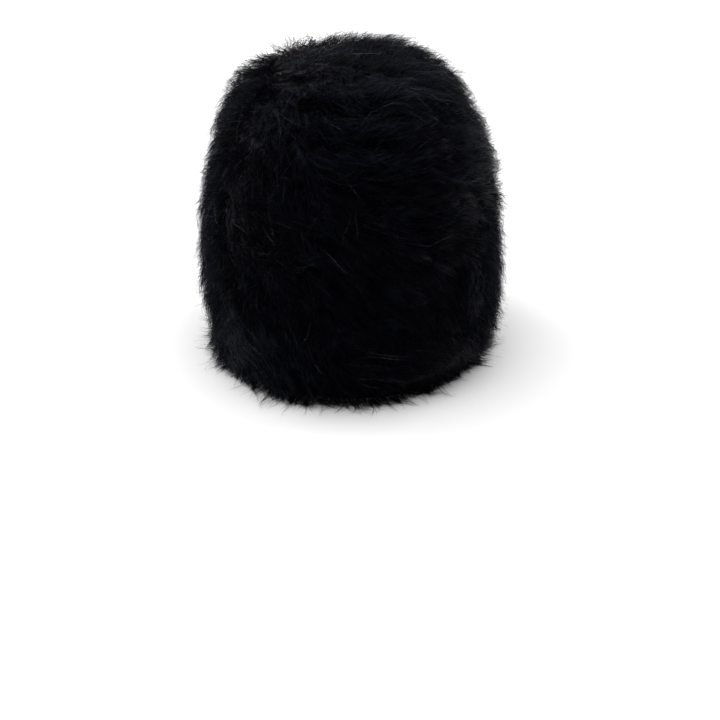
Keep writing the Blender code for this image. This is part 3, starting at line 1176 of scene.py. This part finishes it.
    def build(self, material: bpy.types.Material) -> bpy.types.Object:
        """Build the round, dress it and put it in its node's place.

        Args:
            material: The fur's material.

        Returns:
            The piece.
        """
        hairs = HairMesh()
        for coat in Coat:
            self.grow(hairs, coat)
        data = hairs.mesh(self.node + "_hair")
        joined = bmesh.new()
        joined.from_mesh(data)
        joined.from_mesh(self.mat())
        joined.to_mesh(data)
        joined.free()
        data.materials.clear()
        data.materials.append(material)
        piece = new_object(self.node + "_hair", data)
        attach(piece, BODY)
        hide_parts(self.node)
        return piece


@dataclass
class KnittedWall:
    """The knitted wall that carries the fur, with its wales and courses in relief."""

    form: PileForm
    stitch_width: float = 5 * MM
    stitch_height: float = 4.2 * MM
    relief: float = 0.45 * MM
    # The share of the map, at its foot, that is kept for the rim's edge, and the share of
    # it that the edge takes
    rim_strip: float = 0.01
    rim_edge: float = 0.8
    steps_per_wale: int = 3
    # The outer face is under the fur, so it needs few rows
    outer_rows: int = 14
    # The wall's way from the rim to the top, next to the fur's
    wall_way: float = 0.93
    # The relief fades out over this share of the way, at the top
    fade_share: float = 0.125
    rim_clear: float = 0.2 * MM
    # The way up of the last spoke, just beside the axis
    top_up: float = 0.9999

    def build(self, yarn: KnitYarn) -> bpy.types.Object:
        """Build the wall, dress it and put it in its node's place.

        Args:
            yarn: The finish.

        Returns:
            The piece.
        """
        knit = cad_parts[KNIT_NODE]
        tree, _ = tree_of((KNIT_NODE,))
        rim = self.form.inner[0]
        girth = np.linalg.norm(np.roll(rim, -1, axis=0) - rim, axis=1).sum()
        height = self.form.along.mean() * self.wall_way
        wales = int(girth / self.stitch_width / 2) * 2
        courses = int(height / self.stitch_height)
        sides = wales * self.steps_per_wale
        grids = []
        for inside, rows in ((True, courses), (False, self.outer_rows)):
            grids.append(self.face_points(tree, inside, sides, rows, wales))
        mesh = bmesh.new()
        layer = mesh.loops.layers.uv.new(HAIR_MAP)
        made = []
        for half, grid in enumerate(grids):
            made.append(self.add_face(mesh, layer, grid, half))
        self.close_rim(mesh, layer, made)
        bmesh.ops.recalc_face_normals(mesh, faces=mesh.faces[:])
        data = bpy.data.meshes.new("knitted_wall")
        mesh.to_mesh(data)
        mesh.free()
        data.shade_smooth()
        data.materials.append(yarn.build(wales * 2, courses))
        piece = new_object("knitted_wall", data)
        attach(piece, BODY)
        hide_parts(KNIT_NODE)
        return piece

    def face_points(self, tree: BVHTree, inside: bool, sides: int, rows: int,
                    wales: int) -> np.ndarray:
        """One face of the wall as a grid of points, with the wales raised.

        Args:
            tree: The solid wall's search tree.
            inside: Whether it is the inner face.
            sides: Points around.
            rows: Points up, from the rim to the top.
            wales: Columns of stitches around.

        Returns:
            Rows by sides by 3, then the pole as a last row of equal points.
        """
        wale = np.abs(np.sin(np.arange(sides) / sides * wales * math.pi))
        grid = np.zeros((rows + 1, sides, 3))
        for row in range(rows + 1):
            up = row / rows
            for side in range(sides):
                start, way = self.form.spoke(min(up, self.top_up), math.tau * side / sides)
                start.z = max(start.z, self.rim_clear)
                if inside:
                    hit = tree.ray_cast(start, way)
                else:
                    hit = tree.ray_cast(start + way * self.form.reach, -way)
                fade = min(1.0, (1 - up) / self.fade_share)
                raised = self.relief * (wale[side] - 1) * fade
                sign = -1 if inside else 1
                grid[row, side] = hit[0] + way * (sign * raised)
        grid[0, :, 2] = 0.0
        grid[-1] = grid[-1].mean(axis=0)
        return grid

    def add_face(self, mesh: bmesh.types.BMesh, layer: bmesh.types.BMLayerItem,
                 grid: np.ndarray, half: int) -> list:
        """Add one face of the wall to the mesh.

        Args:
            mesh: The mesh.
            layer: Its map.
            grid: The face's points.
            half: Which half of the map it takes, 0 or 1.

        Returns:
            The vertices of the rim's row.
        """
        rows, sides, _ = grid.shape
        made = [[mesh.verts.new(point) for point in grid[row]] for row in range(rows - 1)]
        pole = mesh.verts.new(grid[-1, 0])
        for row in range(rows - 1):
            for side in range(sides):
                after = (side + 1) % sides
                left, right = side / sides, (side + 1) / sides
                low = self.rim_strip + (1 - self.rim_strip) * row / (rows - 1)
                high = self.rim_strip + (1 - self.rim_strip) * (row + 1) / (rows - 1)
                if row < rows - 2:
                    corners = [made[row][side], made[row][after], made[row + 1][after],
                               made[row + 1][side]]
                    places = [(left, low), (right, low), (right, high), (left, high)]
                else:
                    corners = [made[row][side], made[row][after], pole]
                    places = [(left, low), (right, low), ((left + right) / 2, high)]
                face = mesh.faces.new(corners)
                for loop, (across, rise) in zip(face.loops, places):
                    loop[layer].uv = ((half + across) / 2, rise)
        return made[0]

    def close_rim(self, mesh: bmesh.types.BMesh, layer: bmesh.types.BMLayerItem,
                  rims: list) -> None:
        """Join the wall's two faces at the rim.

        Args:
            mesh: The mesh.
            layer: Its map.
            rims: The inner and the outer rim's vertices.
        """
        inner, outer = rims
        sides = len(inner)
        for side in range(sides):
            after = (side + 1) % sides
            face = mesh.faces.new([inner[side], outer[side], outer[after], inner[after]])
            left, right = side / sides / 2, (side + 1) / sides / 2
            edge = self.rim_edge * self.rim_strip
            for loop, place in zip(face.loops, [(left, 0.0), (left, edge), (right, edge),
                                                (right, 0.0)]):
                loop[layer].uv = place


@dataclass
class Studio:
    """The pale floor, the soft lights and the camera at the photograph's angle."""

    floor_size: float = 12.0
    # Places in metres, powers in watts
    left_place: tuple[float, float, float] = (-1.1, 0.75, 0.6)
    left_power: float = 12.0
    right_place: tuple[float, float, float] = (1.15, 0.65, 0.8)
    right_power: float = 11.0
    softbox_size: float = 0.9
    aim_height: float = 0.1
    camera_place: tuple[float, float, float] = (0.006, -1.12763, 0.51042)
    camera_pitch: float = 25.05
    camera_lens: float = 90.9
    world_light: float = 0.10
    overhead_light: float = 4.2
    overhead_spread: float = 80.0
    overhead_way: tuple[float, float, float] = (-0.15, -0.06, 1.0)

    def build(self) -> None:
        """Build the floor, the lights, the world and the camera."""
        self.floor()
        self.overhead()
        self.softbox("left_softbox", self.left_place, self.left_power)
        self.softbox("right_softbox", self.right_place, self.right_power)
        self.sky()
        self.camera()

    def floor(self) -> None:
        """A wide board, level with the rim."""
        mesh = bmesh.new()
        bmesh.ops.create_grid(mesh, x_segments=2, y_segments=2, size=self.floor_size / 2)
        data = bpy.data.meshes.new("floor")
        mesh.to_mesh(data)
        mesh.free()
        data.materials.append(PaintedBoard().build())
        board = new_object("floor", data)

    def overhead(self) -> None:
        """A broad, even light from above, a little to the left and from the camera's side."""
        data = bpy.data.lights.new("overhead_diffuser", "SUN")
        data.energy = self.overhead_light
        data.angle = math.radians(self.overhead_spread)
        lamp = new_object("overhead_diffuser", data)
        aim = -Vector(self.overhead_way)
        lamp.rotation_euler = aim.to_track_quat("-Z", "Y").to_euler()

    def softbox(self, name: str, place: tuple[float, float, float], power: float) -> None:
        """A square softbox aimed at the hat.

        Args:
            name: The light's name.
            place: Where it stands, in metres.
            power: Its power, in watts.
        """
        data = bpy.data.lights.new(name, "AREA")
        data.size = self.softbox_size
        data.energy = power
        lamp = new_object(name, data)
        lamp.location = place
        aim = Vector((0, 0, self.aim_height)) - Vector(place)
        lamp.rotation_euler = aim.to_track_quat("-Z", "Y").to_euler()

    def sky(self) -> None:
        """A white surround that the camera sees at full brightness."""
        world = bpy.data.worlds.new("white_studio")
        bpy.context.scene.world = world
        world.use_nodes = True
        tree = world.node_tree
        tree.nodes.clear()
        path = add_node(tree, "ShaderNodeLightPath")
        strength = add_node(tree, "ShaderNodeMapRange",
                            {"To Min": self.world_light, "To Max": 1.0},
                            {"Value": path.outputs["Is Camera Ray"]})
        glow = add_node(tree, "ShaderNodeBackground", {"Color": linear("#ffffff")},
                        {"Strength": strength.outputs["Result"]})
        add_node(tree, "ShaderNodeOutputWorld", links={"Surface": glow.outputs["Background"]})
        bpy.context.scene.view_settings.view_transform = "Standard"

    def camera(self) -> None:
        """The camera, behind the hat and above it."""
        data = bpy.data.cameras.new("camera")
        data.lens = self.camera_lens
        data.sensor_width = 36.0
        data.clip_end = 50.0
        camera = new_object("camera", data)
        camera.location = self.camera_place
        camera.rotation_euler = (math.radians(90 - self.camera_pitch), 0.0, 0.0)
        bpy.context.scene.camera = camera


def report(piece: bpy.types.Object) -> None:
    """Log a piece's name and size."""
    piece.data.calc_loop_triangles()
    LOG.info("%s: %d triangles", piece.name, len(piece.data.loop_triangles))


def main() -> None:
    """Build the studio and the hat, and report each piece."""
    logging.basicConfig(level=logging.INFO, format="%(message)s")
    Studio().build()
    form = PileForm()
    form.read()
    report(KnittedWall(form).build(KnitYarn()))
    fur = DyedFur().build()
    combing = Combing(form)
    for node in FUR_NODES:
        report(FurRound(node, form, combing).build(fur))


if __name__ == "__main__":
    main()
